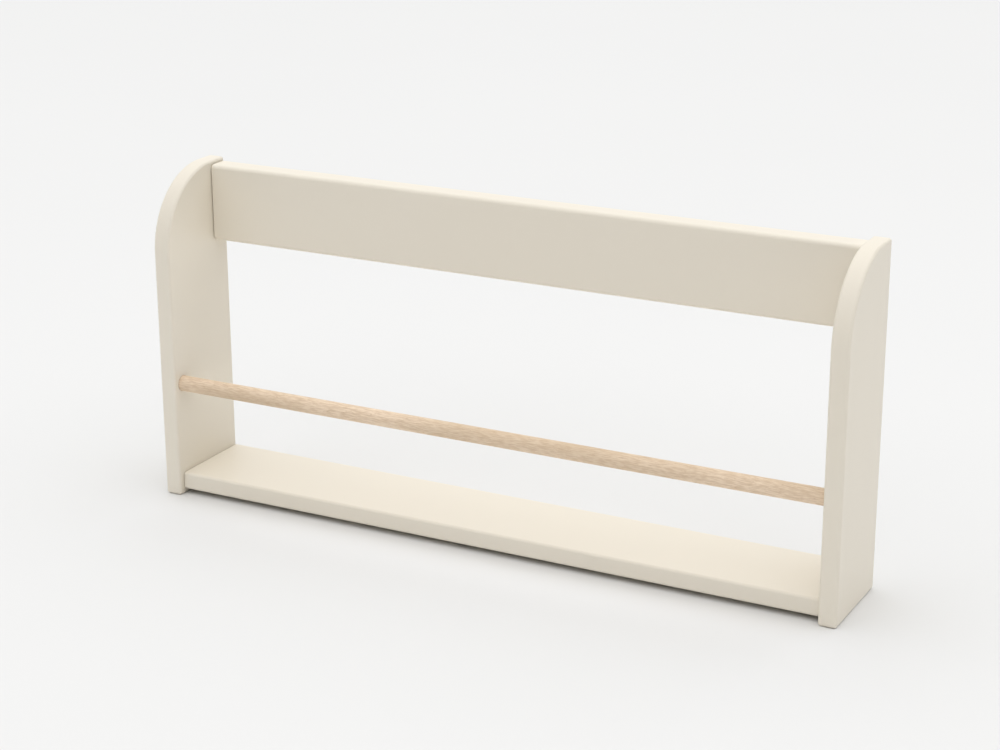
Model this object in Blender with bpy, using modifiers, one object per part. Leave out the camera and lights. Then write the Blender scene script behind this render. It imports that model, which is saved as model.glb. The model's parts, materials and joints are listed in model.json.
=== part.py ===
"""Book rack for a child's room, to stand on a chest or to hang on a wall.

Two painted side panels carry a shelf, a back rail and a plain wooden bar across the front. The
boards are drawn together by cam fittings and lined up by wooden pins, which are all out of
sight once the rack is together. The rail has two keyhole slots in its back for wall screws.

Sizes are in metres. +X runs to the right, +Y to the back and +Z up, and the origin is on the
ground under the middle of the rack.
"""

from math import asin, cos, hypot, radians, sin

import bmesh
import bpy
from mathutils import Matrix, Vector

# Rack as a whole, with the edge radius of its panels and shelf
RACK_WIDTH = 0.730
RACK_DEPTH = 0.104
RACK_HEIGHT = 0.338
EDGE_RADIUS = 0.003
SEAT_GAP = 0.0003

# Side panels
PANEL_THICKNESS = 0.018
PANEL_CORNER_RADIUS = 0.081

# Shelf, measured from the panels' front edges and from the ground
SHELF_THICKNESS = 0.018
SHELF_SETBACK = 0.0065
SHELF_UNDERSIDE = 0.0055

# Back rail, flush with the panels' back edges
RAIL_HEIGHT = 0.079
RAIL_THICKNESS = 0.025
RAIL_DROP = 0.004
RAIL_EDGE_RADIUS = 0.0042

# Front bar, measured to its centre line
BAR_DIAMETER = 0.016
BAR_SETBACK = 0.0138
BAR_HEIGHT = 0.1191
BAR_SOCKET_DEPTH = 0.010
BAR_CHAMFER = 0.001

# Wooden pins
PIN_DIAMETER = 0.008
PIN_LENGTH = 0.030
PIN_IN_PANEL = 0.010
PIN_CHAMFER = 0.001
SHELF_PIN_INSET = 0.017
RAIL_PIN_INSET = 0.014

# Cam bolts
BOLT_THREAD_DIAMETER = 0.006
BOLT_THREAD_LENGTH = 0.011
BOLT_COLLAR_DIAMETER = 0.0074
BOLT_COLLAR_LENGTH = 0.003
BOLT_SHANK_DIAMETER = 0.006
BOLT_NECK_DIAMETER = 0.004
BOLT_HEAD_DIAMETER = 0.0065
BOLT_HEAD_LENGTH = 0.003
BOLT_CHAMFER = 0.0006

# Cam discs
CAM_SEAT_OFFSET = 0.0034
CAM_WALL = 0.0025
CAM_FLOOR = 0.0012
CAM_CHAMFER = 0.0004
CAM_REACH = 0.034
CAM_LINE_DEPTH = 0.009
CAM_ENTRY_ANGLE = radians(150)
CAM_SLOT_OVERRUN = radians(35)
DRIVER_SLOT_LENGTH = 0.009
DRIVER_SLOT_WIDTH = 0.0016
DRIVER_SLOT_DEPTH = 0.0025

# Keyhole slots in the back of the rail
KEYHOLE_SPACING = 0.500
KEYHOLE_ENTRY_DIAMETER = 0.010
KEYHOLE_NECK_WIDTH = 0.005
KEYHOLE_TRAVEL = 0.014
KEYHOLE_LIP = 0.005
KEYHOLE_DEPTH = 0.011

# Finishes: colour, roughness and metallic value
CREAM_PAINT = ((0.82, 0.76, 0.65), 0.42, 0.0)
NATURAL_OAK = ((0.76, 0.61, 0.45), 0.55, 0.0)
BEECH = ((0.60, 0.43, 0.28), 0.65, 0.0)
ZINC_PLATED_STEEL = ((0.62, 0.62, 0.60), 0.35, 1.0)
ZINC_ALLOY = ((0.55, 0.55, 0.56), 0.45, 1.0)

# How finely round work is divided
CORNER_SEGMENTS = 28
EDGE_SEGMENTS = 3
BAR_SEGMENTS = 48
HOLE_SEGMENTS = 28
FITTING_SEGMENTS = 28
CHAMFER_SEGMENTS = 1
ROUND_PROFILE = 0.5
SHARP_ANGLE = radians(30)
CUT_OVERRUN = 0.002
MERGE_DISTANCE = 1e-6

# Places that several pieces share
INNER_FACE = RACK_WIDTH / 2 - PANEL_THICKNESS
FRONT_EDGE = -RACK_DEPTH / 2
BACK_EDGE = RACK_DEPTH / 2
BOARD_END = INNER_FACE - SEAT_GAP
SHELF_FRONT = FRONT_EDGE + SHELF_SETBACK
SHELF_MIDDLE = (SHELF_FRONT + BACK_EDGE) / 2
SHELF_LINE = SHELF_UNDERSIDE + CAM_LINE_DEPTH
RAIL_TOP = RACK_HEIGHT - RAIL_DROP
RAIL_UNDERSIDE = RAIL_TOP - RAIL_HEIGHT
RAIL_MIDDLE = (RAIL_TOP + RAIL_UNDERSIDE) / 2
RAIL_LINE = BACK_EDGE - CAM_LINE_DEPTH
BAR_LINE = FRONT_EDGE + BAR_SETBACK
POCKET_RADIUS = hypot(CAM_SEAT_OFFSET, BOLT_HEAD_DIAMETER / 2) + SEAT_GAP
POCKET_HALF_HEIGHT = BOLT_HEAD_DIAMETER / 2 + SEAT_GAP
CAM_RADIUS = POCKET_RADIUS + CAM_WALL
CAM_HEIGHT = CAM_LINE_DEPTH + POCKET_HALF_HEIGHT + CAM_FLOOR

# Places of the cam bolts and pins at a board's end, as (y, z)
SHELF_BOLT_PLACE = (SHELF_MIDDLE, SHELF_LINE)
SHELF_PIN_PLACES = {
    "front": (SHELF_FRONT + SHELF_PIN_INSET, SHELF_LINE),
    "rear": (BACK_EDGE - SHELF_PIN_INSET, SHELF_LINE),
}
RAIL_BOLT_PLACE = (RAIL_LINE, RAIL_MIDDLE)
RAIL_PIN_PLACES = {
    "lower": (RAIL_LINE, RAIL_UNDERSIDE + RAIL_PIN_INSET),
    "upper": (RAIL_LINE, RAIL_TOP - RAIL_PIN_INSET),
}

RIGHTWARD = Vector((1, 0, 0))
BACKWARD = Vector((0, 1, 0))
UPWARD = Vector((0, 0, 1))


def clear_scene():
    """Remove every object that the scene starts with."""
    for thing in list(bpy.data.objects):
        bpy.data.objects.remove(thing, do_unlink=True)


def make_collection(name):
    """Add a collection to the scene."""
    collection = bpy.data.collections.new(name)
    bpy.context.scene.collection.children.link(collection)
    return collection


def make_material(name, colour, roughness, metallic):
    """Make a plain Principled finish."""
    material = bpy.data.materials.new(name)
    material.use_nodes = True
    shader = material.node_tree.nodes["Principled BSDF"]
    shader.inputs["Base Color"].default_value = (*colour, 1.0)
    shader.inputs["Roughness"].default_value = roughness
    shader.inputs["Metallic"].default_value = metallic
    return material


def place(origin, z_axis, x_axis):
    """Give the matrix that puts a piece at origin with its local Z and X axes turned as told."""
    columns = (x_axis, z_axis.cross(x_axis), z_axis)
    turn = Matrix([axis.normalized() for axis in columns]).transposed()
    return Matrix.Translation(origin) @ turn.to_4x4()


class Workshop:
    """The collections, the parent and the finishes that the pieces go into."""

    def __init__(self):
        self.pieces = make_collection("book_rack")
        self.cutters = make_collection("book_rack_cutters")
        self.parent = bpy.data.objects.new("book_rack_origin", None)
        self.pieces.objects.link(self.parent)
        self.paint = make_material("cream_paint", *CREAM_PAINT)
        self.oak = make_material("natural_oak", *NATURAL_OAK)
        self.beech = make_material("beech", *BEECH)
        self.steel = make_material("zinc_plated_steel", *ZINC_PLATED_STEEL)
        self.zinc = make_material("zinc_alloy", *ZINC_ALLOY)

    def add_piece(self, name, mesh, material, matrix):
        """Add a finished sub-part, shaded smooth up to its sharp edges."""
        piece = bpy.data.objects.new(name, mesh)
        if not mesh.materials:
            mesh.materials.append(material)
        mesh.shade_smooth()
        mesh.set_sharp_from_angle(angle=SHARP_ANGLE)
        self.pieces.objects.link(piece)
        piece.parent = self.parent
        piece.matrix_world = matrix
        return piece

    def add_cutter(self, name, mesh, matrix):
        """Add a shape that only cuts others."""
        cutter = bpy.data.objects.new(name, mesh)
        self.cutters.objects.link(cutter)
        cutter.hide_render = True
        cutter.display_type = "WIRE"
        cutter.matrix_world = matrix
        return cutter


def finish_mesh(bm, name):
    """Turn a bmesh into a mesh of that name."""
    mesh = bpy.data.meshes.new(name)
    bm.to_mesh(mesh)
    bm.free()
    return mesh


def box_mesh(name, size):
    """A box centred on its own origin."""
    bm = bmesh.new()
    bmesh.ops.create_cube(bm, size=1.0)
    bmesh.ops.scale(bm, vec=size, verts=bm.verts)
    return finish_mesh(bm, name)


def rod_mesh(name, diameter, length, segments):
    """A rod along its own Z axis, from its origin up to its length."""
    bm = bmesh.new()
    bmesh.ops.create_cone(
        bm,
        cap_ends=True,
        segments=segments,
        radius1=diameter / 2,
        radius2=diameter / 2,
        depth=length,
        matrix=Matrix.Translation(UPWARD * length / 2),
    )
    return finish_mesh(bm, name)


def arc_points(centre, radius, start, end, segments):
    """Points along an arc in the XY plane, both ends included."""
    steps = [start + (end - start) * index / segments for index in range(segments + 1)]
    return [(centre[0] + radius * cos(angle), centre[1] + radius * sin(angle)) for angle in steps]


def outline_mesh(name, points, thickness):
    """A flat plate with a drawn outline, its middle plane on its own XY plane."""
    curve = bpy.data.curves.new(name, "CURVE")
    curve.dimensions = "2D"
    curve.fill_mode = "BOTH"
    curve.extrude = thickness / 2
    spline = curve.splines.new("POLY")
    spline.points.add(len(points) - 1)
    for point, (x, y) in zip(spline.points, points):
        point.co = (x, y, 0.0, 1.0)
    spline.use_cyclic_u = True
    drawing = bpy.data.objects.new(name, curve)
    bpy.context.scene.collection.objects.link(drawing)
    graph = bpy.context.evaluated_depsgraph_get()
    mesh = bpy.data.meshes.new_from_object(drawing.evaluated_get(graph))
    bpy.data.objects.remove(drawing, do_unlink=True)
    bm = bmesh.new()
    bm.from_mesh(mesh)
    bmesh.ops.remove_doubles(bm, verts=bm.verts, dist=MERGE_DISTANCE)
    bmesh.ops.recalc_face_normals(bm, faces=bm.faces)
    bm.to_mesh(mesh)
    bm.free()
    return mesh


def soften(piece, width, segments):
    """Round every sharp edge of a piece."""
    bevel = piece.modifiers.new("softened edges", "BEVEL")
    bevel.limit_method = "ANGLE"
    bevel.angle_limit = SHARP_ANGLE
    bevel.width = width
    bevel.segments = segments


def cut(piece, cutter):
    """Take a cutter's shape out of a piece."""
    boolean = piece.modifiers.new(cutter.name, "BOOLEAN")
    boolean.operation = "DIFFERENCE"
    boolean.object = cutter


def drill(shop, piece, mouth, direction, diameter, depth):
    """Drill a blind round hole into a piece, from a point on its face."""
    name = f"{piece.name}_hole_{len(piece.modifiers)}"
    start = mouth - direction * CUT_OVERRUN
    aside = direction.orthogonal()
    mesh = rod_mesh(name, diameter, depth + CUT_OVERRUN, HOLE_SEGMENTS)
    cut(piece, shop.add_cutter(name, mesh, place(start, direction, aside)))


def side_panel_mesh(name):
    """A side panel standing on its own origin, with the large round at its top front corner."""
    bm = bmesh.new()
    bmesh.ops.create_cube(bm, size=1.0, matrix=Matrix.Translation(UPWARD / 2))
    bmesh.ops.scale(bm, vec=(PANEL_THICKNESS, RACK_DEPTH, RACK_HEIGHT), verts=bm.verts)
    corner_radius = min(PANEL_CORNER_RADIUS, RACK_DEPTH - EDGE_RADIUS * 2)

    def at_top_front(edge):
        return all(vert.co.y < 0 and vert.co.z > RACK_HEIGHT / 2 for vert in edge.verts)

    bmesh.ops.bevel(
        bm,
        geom=[edge for edge in bm.edges if at_top_front(edge)],
        offset=corner_radius,
        segments=CORNER_SEGMENTS,
        profile=ROUND_PROFILE,
        affect="EDGES",
    )
    return finish_mesh(bm, name)


def long_board_mesh(name, thickness, height, edge_radius):
    """A board between the panels, centred on its origin, with only its long edges rounded."""
    bm = bmesh.new()
    bmesh.ops.create_cube(bm, size=1.0)
    bmesh.ops.scale(bm, vec=(BOARD_END * 2, thickness, height), verts=bm.verts)

    def runs_along(edge):
        start, end = edge.verts
        return abs(start.co.x - end.co.x) > BOARD_END

    bmesh.ops.bevel(
        bm,
        geom=[edge for edge in bm.edges if runs_along(edge)],
        offset=edge_radius,
        segments=EDGE_SEGMENTS,
        profile=ROUND_PROFILE,
        affect="EDGES",
    )
    return finish_mesh(bm, name)


def bolt_mesh(name):
    """A cam bolt turned about its own Z axis: thread below the panel's face, head above it."""
    head_seat = CAM_REACH - CAM_SEAT_OFFSET
    head_end = head_seat + BOLT_HEAD_LENGTH
    neck_end = CAM_REACH - CAM_RADIUS - SEAT_GAP
    collar_end = BOLT_COLLAR_LENGTH + SEAT_GAP
    thread_radius = BOLT_THREAD_DIAMETER / 2
    profile = [
        (0, head_end),
        (BOLT_HEAD_DIAMETER / 2 - BOLT_CHAMFER, head_end),
        (BOLT_HEAD_DIAMETER / 2, head_end - BOLT_CHAMFER),
        (BOLT_HEAD_DIAMETER / 2, head_seat),
        (BOLT_NECK_DIAMETER / 2, head_seat),
        (BOLT_NECK_DIAMETER / 2, neck_end),
        (BOLT_SHANK_DIAMETER / 2, neck_end - BOLT_CHAMFER),
        (BOLT_SHANK_DIAMETER / 2, collar_end),
        (BOLT_COLLAR_DIAMETER / 2, collar_end),
        (BOLT_COLLAR_DIAMETER / 2, SEAT_GAP),
        (thread_radius, SEAT_GAP),
        (thread_radius, BOLT_CHAMFER - BOLT_THREAD_LENGTH),
        (thread_radius - BOLT_CHAMFER, -BOLT_THREAD_LENGTH),
        (0, -BOLT_THREAD_LENGTH),
    ]
    mesh = bpy.data.meshes.new(name)
    points = [(radius, 0, height) for radius, height in profile]
    mesh.from_pydata(points, [(index, index + 1) for index in range(len(points) - 1)], [])
    return mesh


def turn_profile(piece):
    """Turn a profile into a solid about the piece's own Z axis."""
    screw = piece.modifiers.new("turned", "SCREW")
    screw.steps = FITTING_SEGMENTS
    screw.render_steps = FITTING_SEGMENTS
    screw.use_merge_vertices = True
    screw.merge_threshold = MERGE_DISTANCE


def cam_mesh(shop, name):
    """A cam disc with its face on its own XY plane, a bolt coming in along its own X axis.

    The bolt's head goes in through the round entry. As the disc is turned, the neck runs along
    the narrow slot and the wall beside it draws the head in.
    """
    disc = bpy.data.objects.new(name, rod_mesh(name, CAM_RADIUS * 2, CAM_HEIGHT, FITTING_SEGMENTS))
    shop.cutters.objects.link(disc)
    disc.matrix_world = Matrix.Translation(-UPWARD * CAM_HEIGHT)
    soften(disc, CAM_CHAMFER, CHAMFER_SEGMENTS)
    line = -UPWARD * CAM_LINE_DEPTH
    reach = CAM_RADIUS + CUT_OVERRUN

    pocket = rod_mesh("cam_pocket", POCKET_RADIUS * 2, POCKET_HALF_HEIGHT * 2, FITTING_SEGMENTS)
    pocket_place = Matrix.Translation(line - UPWARD * POCKET_HALF_HEIGHT)

    slot_arc = arc_points((0, 0), reach, -CAM_SLOT_OVERRUN, CAM_ENTRY_ANGLE, HOLE_SEGMENTS)
    slot = outline_mesh("cam_slot", [(0, 0)] + slot_arc, BOLT_NECK_DIAMETER + SEAT_GAP * 2)

    entry = rod_mesh("cam_entry", POCKET_HALF_HEIGHT * 2, reach, FITTING_SEGMENTS)
    entry_line = Vector((cos(CAM_ENTRY_ANGLE), sin(CAM_ENTRY_ANGLE), 0))

    driver_size = (DRIVER_SLOT_LENGTH, DRIVER_SLOT_WIDTH, DRIVER_SLOT_DEPTH * 2)
    across = Matrix.Rotation(radians(90), 4, "Z")

    for part_name, part_mesh, matrix in (
        ("cam_pocket", pocket, pocket_place),
        ("cam_slot", slot, Matrix.Translation(line)),
        ("cam_entry", entry, place(line, entry_line, UPWARD)),
        ("cam_driver_slot", box_mesh("cam_driver_slot", driver_size), Matrix.Identity(4)),
        ("cam_driver_cross", box_mesh("cam_driver_cross", driver_size), across),
    ):
        cut(disc, shop.add_cutter(part_name, part_mesh, matrix))

    graph = bpy.context.evaluated_depsgraph_get()
    mesh = bpy.data.meshes.new_from_object(disc.evaluated_get(graph))
    mesh.transform(disc.matrix_world)
    bpy.data.objects.remove(disc, do_unlink=True)
    return mesh


def keyhole_outline():
    """The outline of a keyhole: a round entry at the origin and a narrower neck above it."""
    entry_radius = KEYHOLE_ENTRY_DIAMETER / 2
    neck_radius = KEYHOLE_NECK_WIDTH / 2
    lean = asin(neck_radius / entry_radius)
    start = radians(90) - lean
    end = radians(-270) + lean
    entry = arc_points((0, 0), entry_radius, start, end, HOLE_SEGMENTS)
    neck = arc_points((0, KEYHOLE_TRAVEL), neck_radius, radians(180), 0, HOLE_SEGMENTS // 2)
    return entry + neck


def undercut_outline():
    """The wider slot behind the keyhole's lip, in which a screw's head slides."""
    radius = KEYHOLE_ENTRY_DIAMETER / 2
    half = HOLE_SEGMENTS // 2
    lower = arc_points((0, 0), radius, radians(180), radians(360), half)
    upper = arc_points((0, KEYHOLE_TRAVEL), radius, 0, radians(180), half)
    return lower + upper


def cut_keyhole(shop, rail, side, x):
    """Rout one keyhole slot into the back of the rail, its neck pointing up."""
    mouth = Vector((x, BACK_EDGE, RAIL_MIDDLE - KEYHOLE_TRAVEL / 2))
    through = KEYHOLE_LIP + CUT_OVERRUN
    hidden = KEYHOLE_DEPTH - KEYHOLE_LIP
    sunk = KEYHOLE_LIP + hidden / 2
    for name, outline, thickness, depth in (
        ("mouth", keyhole_outline(), through * 2, 0),
        ("undercut", undercut_outline(), hidden, sunk),
    ):
        cutter_name = f"rail_{side}_keyhole_{name}"
        matrix = place(mouth - BACKWARD * depth, BACKWARD, -RIGHTWARD)
        cut(rail, shop.add_cutter(cutter_name, outline_mesh(cutter_name, outline, thickness), matrix))


def add_pin(shop, name, board, panel, outward, pin_place):
    """Add a wooden pin that lines a board up with a panel, and drill its two holes."""
    inward = RIGHTWARD * -outward
    bore = PIN_DIAMETER + SEAT_GAP * 2
    panel_mouth = Vector((INNER_FACE * outward, *pin_place))
    drill(shop, panel, panel_mouth, -inward, bore, PIN_IN_PANEL + SEAT_GAP)
    board_mouth = Vector((BOARD_END * outward, *pin_place))
    drill(shop, board, board_mouth, inward, bore, PIN_LENGTH - PIN_IN_PANEL)
    mesh = rod_mesh(name, PIN_DIAMETER, PIN_LENGTH, FITTING_SEGMENTS)
    start = panel_mouth - inward * PIN_IN_PANEL
    pin = shop.add_piece(name, mesh, shop.beech, place(start, inward, UPWARD))
    soften(pin, PIN_CHAMFER, CHAMFER_SEGMENTS)


def add_cam_fitting(shop, label, board, panel, outward, bolt_place, face_normal, cam):
    """Add a cam bolt and the cam that draws it in, and drill their holes.

    face_normal points out of the board's face that the cam is set in.
    """
    inward = RIGHTWARD * -outward
    panel_mouth = Vector((INNER_FACE * outward, *bolt_place))
    thread_bore = BOLT_THREAD_DIAMETER + SEAT_GAP * 2
    drill(shop, panel, panel_mouth, -inward, thread_bore, BOLT_THREAD_LENGTH + SEAT_GAP)
    board_mouth = Vector((BOARD_END * outward, *bolt_place))
    drill(shop, board, board_mouth, inward, BOLT_COLLAR_DIAMETER + SEAT_GAP * 2, CAM_REACH)
    name = f"{label}_cam_bolt"
    bolt = shop.add_piece(name, bolt_mesh(name), shop.steel, place(panel_mouth, inward, UPWARD))
    turn_profile(bolt)

    cam_centre = panel_mouth + inward * CAM_REACH + face_normal * CAM_LINE_DEPTH
    cam_bore = (CAM_RADIUS + SEAT_GAP) * 2
    drill(shop, board, cam_centre, -face_normal, cam_bore, CAM_HEIGHT + SEAT_GAP)
    shop.add_piece(f"{label}_cam", cam, shop.zinc, place(cam_centre, face_normal, -inward))


def add_bar(shop, panels):
    """Add the wooden bar and its blind sockets in the two panels."""
    for outward, panel in panels.items():
        mouth = Vector((INNER_FACE * outward, BAR_LINE, BAR_HEIGHT))
        bore = BAR_DIAMETER + SEAT_GAP * 2
        drill(shop, panel, mouth, RIGHTWARD * outward, bore, BAR_SOCKET_DEPTH + SEAT_GAP)
    reach = INNER_FACE + BAR_SOCKET_DEPTH
    start = Vector((-reach, BAR_LINE, BAR_HEIGHT))
    mesh = rod_mesh("front_bar", BAR_DIAMETER, reach * 2, BAR_SEGMENTS)
    bar = shop.add_piece("front_bar", mesh, shop.oak, place(start, RIGHTWARD, UPWARD))
    soften(bar, BAR_CHAMFER, CHAMFER_SEGMENTS)


def main():
    """Build the rack."""
    clear_scene()
    shop = Workshop()

    panels = {}
    for outward, side in ((-1, "left"), (1, "right")):
        name = f"{side}_side_panel"
        middle = RIGHTWARD * outward * (INNER_FACE + PANEL_THICKNESS / 2)
        matrix = Matrix.Translation(middle)
        panels[outward] = shop.add_piece(name, side_panel_mesh(name), shop.paint, matrix)
        soften(panels[outward], EDGE_RADIUS, EDGE_SEGMENTS)

    shelf_depth = BACK_EDGE - SHELF_FRONT
    shelf_mesh = long_board_mesh("shelf", shelf_depth, SHELF_THICKNESS, EDGE_RADIUS)
    shelf_place = Vector((0, SHELF_MIDDLE, SHELF_UNDERSIDE + SHELF_THICKNESS / 2))
    shelf = shop.add_piece("shelf", shelf_mesh, shop.paint, Matrix.Translation(shelf_place))

    rail_mesh = long_board_mesh("back_rail", RAIL_THICKNESS, RAIL_HEIGHT, RAIL_EDGE_RADIUS)
    rail_place = Vector((0, BACK_EDGE - RAIL_THICKNESS / 2, RAIL_MIDDLE))
    rail = shop.add_piece("back_rail", rail_mesh, shop.paint, Matrix.Translation(rail_place))

    add_bar(shop, panels)
    cam = cam_mesh(shop, "cam")
    for outward, side in ((-1, "left"), (1, "right")):
        panel = panels[outward]
        for label, board, bolt_place, pin_places, face_normal in (
            (f"shelf_{side}", shelf, SHELF_BOLT_PLACE, SHELF_PIN_PLACES, -UPWARD),
            (f"rail_{side}", rail, RAIL_BOLT_PLACE, RAIL_PIN_PLACES, BACKWARD),
        ):
            for word, pin_place in pin_places.items():
                add_pin(shop, f"{label}_{word}_pin", board, panel, outward, pin_place)
            add_cam_fitting(shop, label, board, panel, outward, bolt_place, face_normal, cam)
        cut_keyhole(shop, rail, side, outward * KEYHOLE_SPACING / 2)


main()
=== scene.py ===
"""Dress the book rack for its picture.

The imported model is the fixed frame. Each piece here is modelled over the node that it stands for,
at that node's place and size, with the rounded edges, drilled holes, flutes and threads of the
real one. The studio around it has a pale floor, soft light and the photograph's camera.
"""

import json
import logging
from abc import ABC, abstractmethod
from collections.abc import Callable, Iterable, Iterator, Mapping
from contextlib import contextmanager
from dataclasses import dataclass
from enum import Enum
from itertools import product
from math import atan2, ceil, radians, tau
from typing import Any, Optional, Union

import bmesh
import bpy
from bmesh.types import BMEdge, BMFace, BMVert
from bpy.types import NodeSocket, NodeTree, Object
from mathutils import Matrix, Vector


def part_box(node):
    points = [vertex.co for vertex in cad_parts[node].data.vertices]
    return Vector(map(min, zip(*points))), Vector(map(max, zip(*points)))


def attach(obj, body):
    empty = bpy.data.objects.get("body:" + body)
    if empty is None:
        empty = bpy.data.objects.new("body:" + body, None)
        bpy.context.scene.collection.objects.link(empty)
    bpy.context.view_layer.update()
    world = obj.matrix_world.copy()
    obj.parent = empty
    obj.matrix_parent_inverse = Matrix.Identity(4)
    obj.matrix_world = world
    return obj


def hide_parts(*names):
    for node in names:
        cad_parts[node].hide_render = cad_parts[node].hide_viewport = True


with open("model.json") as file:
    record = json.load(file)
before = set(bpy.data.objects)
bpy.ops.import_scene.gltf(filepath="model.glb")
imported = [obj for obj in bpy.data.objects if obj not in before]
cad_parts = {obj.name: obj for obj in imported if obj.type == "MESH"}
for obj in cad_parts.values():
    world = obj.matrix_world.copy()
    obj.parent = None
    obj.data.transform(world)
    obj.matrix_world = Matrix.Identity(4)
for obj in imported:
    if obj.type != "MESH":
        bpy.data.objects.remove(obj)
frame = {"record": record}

LOG = logging.getLogger("book_rack")
ROOT_BODY = "root"
BAR_NODE = "front_bar"
TOUCH = 1e-6
SQUARE_ANGLE = radians(45)
SHARP_ANGLE = radians(40)
NOISE_MEAN = 0.5
# The sockets of a Mix node that mixes colours, by number, because their names repeat
MIX_SHARE, MIX_FIRST, MIX_SECOND, MIX_RESULT = 0, 6, 7, 2

Colour = tuple[float, float, float]
Point = tuple[float, float, float]
Spread = tuple[float, float, float]
Stretch = tuple[float, float]
Operand = Union["Signal", float]

RIGHTWARD = Vector((1, 0, 0))
BACKWARD = Vector((0, 1, 0))
UPWARD = Vector((0, 0, 1))


class Side(Enum):
    """An end of the rack, valued by its direction along X."""

    LEFT = -1
    RIGHT = 1

    @property
    def word(self) -> str:
        """The side's word in the nodes' names."""
        return self.name.lower()

    @property
    def outward(self) -> Vector:
        """The way out of the rack on this side."""
        return RIGHTWARD * self.value

    @property
    def panel_node(self) -> str:
        """The name of the panel on this side."""
        return f"{self.word}_side_panel"


class Place(Enum):
    """A board between the panels: its node, its fittings' word, its pins' words and its cams' face."""

    SHELF = ("shelf", "shelf", ("front", "rear"), -UPWARD)
    RAIL = ("back_rail", "rail", ("lower", "upper"), BACKWARD)

    def __init__(self, node: str, word: str, pins: tuple[str, str], cam_face: Vector) -> None:
        """Keep what the board's fittings are named and placed by."""
        self.node = node
        self.word = word
        self.pins = pins
        self.cam_face = cam_face

    def pin_nodes(self, side: Side) -> list[str]:
        """The names of the two pins at one end of the board."""
        return [f"{self.word}_{side.word}_{pin}_pin" for pin in self.pins]

    def bolt_node(self, side: Side) -> str:
        """The name of the cam bolt at one end of the board."""
        return f"{self.word}_{side.word}_cam_bolt"

    def cam_node(self, side: Side) -> str:
        """The name of the cam at one end of the board."""
        return f"{self.word}_{side.word}_cam"


class Element(Enum):
    """What is selected in edit mode, valued by its list in an edit mesh."""

    VERT = "verts"
    EDGE = "edges"
    FACE = "faces"


class Merge(Enum):
    """What is done with another shape, valued by the Boolean modifier's word for it."""

    CUT_OUT = "DIFFERENCE"
    JOIN_ON = "UNION"


@dataclass(frozen=True)
class NodeBox:
    """The space that a node of the frame takes up, in metres."""

    low: Vector
    high: Vector

    @classmethod
    def of(cls, node: str) -> "NodeBox":
        """Read a node's box from the frame."""
        return cls(*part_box(node))

    @property
    def size(self) -> Vector:
        """The box's width, depth and height."""
        return self.high - self.low

    @property
    def centre(self) -> Vector:
        """The middle of the box."""
        return (self.low + self.high) / 2

    def end(self, way: Vector) -> Vector:
        """The middle of the box's face on the side that an axis points to."""
        return self.centre + way * abs(self.size.dot(way)) / 2


def turned_to(origin: Vector, z_axis: Vector, x_axis: Vector) -> Matrix:
    """Make the matrix that puts a model's own origin, Z axis and X axis in their places in the rack."""
    turn = Matrix((x_axis, z_axis.cross(x_axis), z_axis)).transposed()
    return Matrix.Translation(origin) @ turn.to_4x4()


def at_x(x: float, point: Vector) -> Vector:
    """Move a point along X to a given place."""
    return Vector((x, point.y, point.z))


def is_square(edge: BMEdge) -> bool:
    """Whether the faces beside an edge are square to each other."""
    return edge.calc_face_angle() > SQUARE_ANGLE


def at_ends(reach: float) -> Callable[[BMEdge], bool]:
    """Make the test for an edge that lies at either end of a piece, so far out along X."""
    return lambda edge: abs(sum(vert.co.x for vert in edge.verts)) / 2 > reach - TOUCH


def facing(way: Vector) -> Callable[[BMFace], bool]:
    """Make the test for a face that points a given way."""
    return lambda face: face.normal.dot(way) > 1 - TOUCH


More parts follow.
